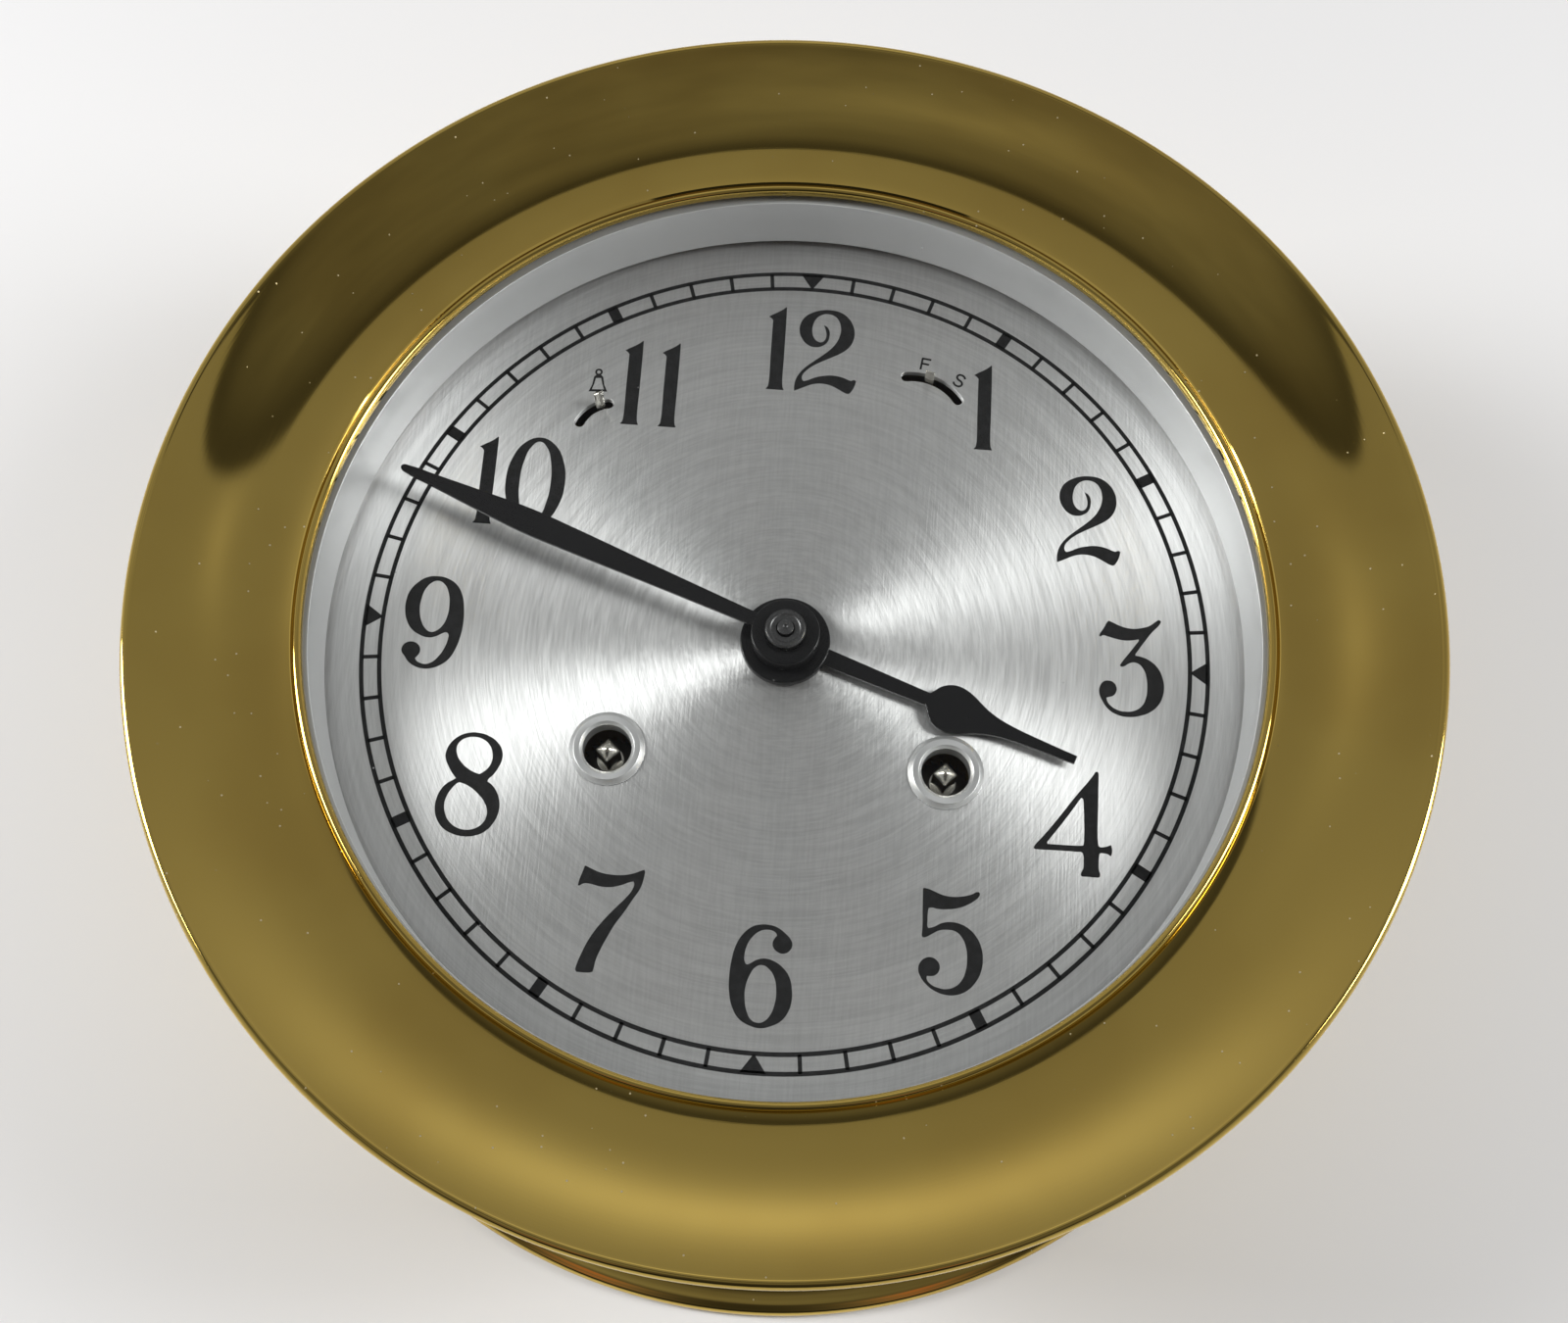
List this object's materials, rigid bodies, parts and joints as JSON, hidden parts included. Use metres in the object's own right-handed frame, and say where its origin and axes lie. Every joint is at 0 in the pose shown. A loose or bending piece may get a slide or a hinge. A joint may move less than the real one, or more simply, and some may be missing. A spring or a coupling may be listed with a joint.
{
  "type": "ships deck clock",
  "caption": "Round brass ship's clock with a flared base flange, hinged dished bezel, silvered dial, black hands and a striking movement.",
  "frame": {"origin": "centre of the flat back of the base flange, which rests on the bulkhead or table", "axes": "+Z out of the dial, +Y to twelve o'clock, +X to three o'clock"},
  "size_m": [0.2098, 0.2098, 0.0983],
  "materials": {
    "polished_brass": "polished",
    "movement_brass": "satin",
    "silvered_dial": "circular brushed, silvered",
    "satin_aluminium": "satin",
    "clear_glass": "clear polished",
    "gasket_rubber": "matt",
    "black_paint": "satin",
    "steel": "polished"
  },
  "bodies": {
    "case": {"case": "polished_brass", "back_cover": "polished_brass", "back_cover_screw_1": "steel", "back_cover_screw_2": "steel", "back_cover_screw_3": "steel", "hinge_case_leaf": "polished_brass", "hinge_pin": "steel", "catch_spring": "steel", "dial": "silvered_dial", "winding_grommet_time": "silvered_dial", "winding_grommet_strike": "silvered_dial", "movement_front_plate": "movement_brass", "movement_back_plate": "movement_brass", "movement_pillar_1": "movement_brass", "movement_pillar_2": "movement_brass", "movement_pillar_3": "movement_brass", "movement_pillar_4": "movement_brass", "movement_screw_1": "steel", "movement_screw_2": "steel", "movement_screw_3": "steel", "bell": "movement_brass", "bell_post": "steel", "balance_cock": "movement_brass", "hairspring": "steel"},
    "bezel": {"bezel": "polished_brass", "crystal": "clear_glass", "crystal_gasket": "gasket_rubber", "reflector_ring": "satin_aluminium", "hinge_bezel_leaf": "polished_brass"},
    "minute_arbor": {"centre_wheel": "movement_brass", "cannon_pinion": "steel", "minute_hand": "black_paint", "hand_nut": "black_paint"},
    "hour_pipe": {"hour_wheel": "movement_brass", "hour_hand": "black_paint"},
    "minute_wheel": {"minute_wheel": "movement_brass"},
    "intermediate_arbor": {"intermediate_wheel": "movement_brass"},
    "time_barrel": {"time_barrel": "movement_brass", "time_barrel_cap": "movement_brass", "time_mainspring": "steel"},
    "third_arbor": {"third_wheel": "movement_brass"},
    "fourth_arbor": {"fourth_wheel": "movement_brass"},
    "escape_arbor": {"escape_wheel": "movement_brass"},
    "pallets": {"pallet_lever": "steel"},
    "balance": {"balance_wheel": "movement_brass"},
    "regulator": {"regulator_lever": "steel"},
    "strike_silent": {"strike_silent_lever": "steel"},
    "time_winder": {"time_winding_arbor": "steel", "time_ratchet_wheel": "steel"},
    "strike_winder": {"strike_winding_arbor": "steel", "strike_ratchet_wheel": "steel"},
    "time_click": {"time_click": "steel"},
    "strike_click": {"strike_click": "steel"},
    "strike_barrel": {"strike_barrel": "movement_brass", "strike_barrel_cap": "movement_brass", "strike_mainspring": "steel"},
    "pin_arbor": {"pin_wheel": "movement_brass"},
    "fly": {"fly": "movement_brass"},
    "hammer": {"hammer": "steel"}
  },
  "joints": [
    {"name": "bezel_hinge", "type": "hinge", "parent": "case", "child": "bezel", "pos_m": [-0.094, 0, 0.078], "axis": [0, -1, 0], "range_deg": [0, 100]},
    {"name": "minute_hand_spin", "type": "hinge", "parent": "case", "child": "minute_arbor", "pos_m": [0, 0, 0.0785], "axis": [0, 0, -1], "continuous": true},
    {"name": "hour_hand_spin", "type": "hinge", "parent": "case", "child": "hour_pipe", "pos_m": [0, 0, 0.0755], "axis": [0, 0, -1], "continuous": true},
    {"name": "minute_wheel_spin", "type": "hinge", "parent": "case", "child": "minute_wheel", "pos_m": [0, -0.012, 0.061], "axis": [0, 0, -1], "continuous": true},
    {"name": "intermediate_wheel_spin", "type": "hinge", "parent": "case", "child": "intermediate_arbor", "pos_m": [0.01488, 0.00187, 0.052], "axis": [0, 0, -1], "continuous": true},
    {"name": "time_barrel_spin", "type": "hinge", "parent": "case", "child": "time_barrel", "pos_m": [0.0274, -0.02, 0.04], "axis": [0, 0, -1], "continuous": true},
    {"name": "third_wheel_spin", "type": "hinge", "parent": "case", "child": "third_arbor", "pos_m": [-0.00234, 0.01329, 0.044], "axis": [0, 0, -1], "continuous": true},
    {"name": "fourth_wheel_spin", "type": "hinge", "parent": "case", "child": "fourth_arbor", "pos_m": [0.00373, 0.02382, 0.06], "axis": [0, 0, -1], "continuous": true},
    {"name": "escape_wheel_spin", "type": "hinge", "parent": "case", "child": "escape_arbor", "pos_m": [0.01209, 0.02967, 0.062], "axis": [0, 0, -1], "continuous": true},
    {"name": "pallet_lever_rock", "type": "hinge", "parent": "case", "child": "pallets", "pos_m": [0.01536, 0.0354, 0.063], "axis": [0, 0, -1], "range_deg": [-5, 5]},
    {"name": "balance_swing", "type": "hinge", "parent": "case", "child": "balance", "pos_m": [0.0189, 0.0416, 0.066], "axis": [0, 0, -1], "range_deg": [-270, 270], "stiffness_Nm_per_rad": 0.00001},
    {"name": "regulator_shift", "type": "hinge", "parent": "case", "child": "regulator", "pos_m": [0.0189, 0.0416, 0.071], "axis": [0, 0, -1], "range_deg": [-22, 35]},
    {"name": "strike_silent_shift", "type": "hinge", "parent": "case", "child": "strike_silent", "pos_m": [-0.0324, 0.0357, 0.068], "axis": [0, 0, -1], "range_deg": [-38, 8]},
    {"name": "time_winding_spin", "type": "hinge", "parent": "case", "child": "time_winder", "pos_m": [0.0274, -0.02, 0.06], "axis": [0, 0, -1], "continuous": true},
    {"name": "strike_winding_spin", "type": "hinge", "parent": "case", "child": "strike_winder", "pos_m": [-0.0274, -0.02, 0.06], "axis": [0, 0, -1], "continuous": true},
    {"name": "time_click_lift", "type": "hinge", "parent": "case", "child": "time_click", "pos_m": [0.03376, -0.01364, 0.06], "axis": [0, 0, -1], "range_deg": [-8, 0]},
    {"name": "strike_click_lift", "type": "hinge", "parent": "case", "child": "strike_click", "pos_m": [-0.02104, -0.01364, 0.06], "axis": [0, 0, -1], "range_deg": [-8, 0]},
    {"name": "strike_barrel_spin", "type": "hinge", "parent": "case", "child": "strike_barrel", "pos_m": [-0.0274, -0.02, 0.04], "axis": [0, 0, -1], "continuous": true},
    {"name": "pin_wheel_spin", "type": "hinge", "parent": "case", "child": "pin_arbor", "pos_m": [-0.03178, 0.00482, 0.051], "axis": [0, 0, -1], "continuous": true},
    {"name": "fly_spin", "type": "hinge", "parent": "case", "child": "fly", "pos_m": [-0.02495, 0.01664, 0.04], "axis": [0, 0, -1], "continuous": true},
    {"name": "hammer_lift", "type": "hinge", "parent": "case", "child": "hammer", "pos_m": [-0.04288, 0.01414, 0.02], "axis": [0, 0, -1], "range_deg": [-14, 2]}
  ],
  "couplings": [
    {"joint": "hour_hand_spin", "follows": "minute_hand_spin", "ratio": 0.083333},
    {"joint": "minute_wheel_spin", "follows": "minute_hand_spin", "ratio": -0.33333},
    {"joint": "intermediate_wheel_spin", "follows": "minute_hand_spin", "ratio": -0.25},
    {"joint": "time_barrel_spin", "follows": "minute_hand_spin", "ratio": 0.041667},
    {"joint": "third_wheel_spin", "follows": "minute_hand_spin", "ratio": -8},
    {"joint": "fourth_wheel_spin", "follows": "minute_hand_spin", "ratio": 64},
    {"joint": "escape_wheel_spin", "follows": "minute_hand_spin", "ratio": -480},
    {"joint": "pin_wheel_spin", "follows": "strike_barrel_spin", "ratio": -6},
    {"joint": "fly_spin", "follows": "strike_barrel_spin", "ratio": 36}
  ]
}
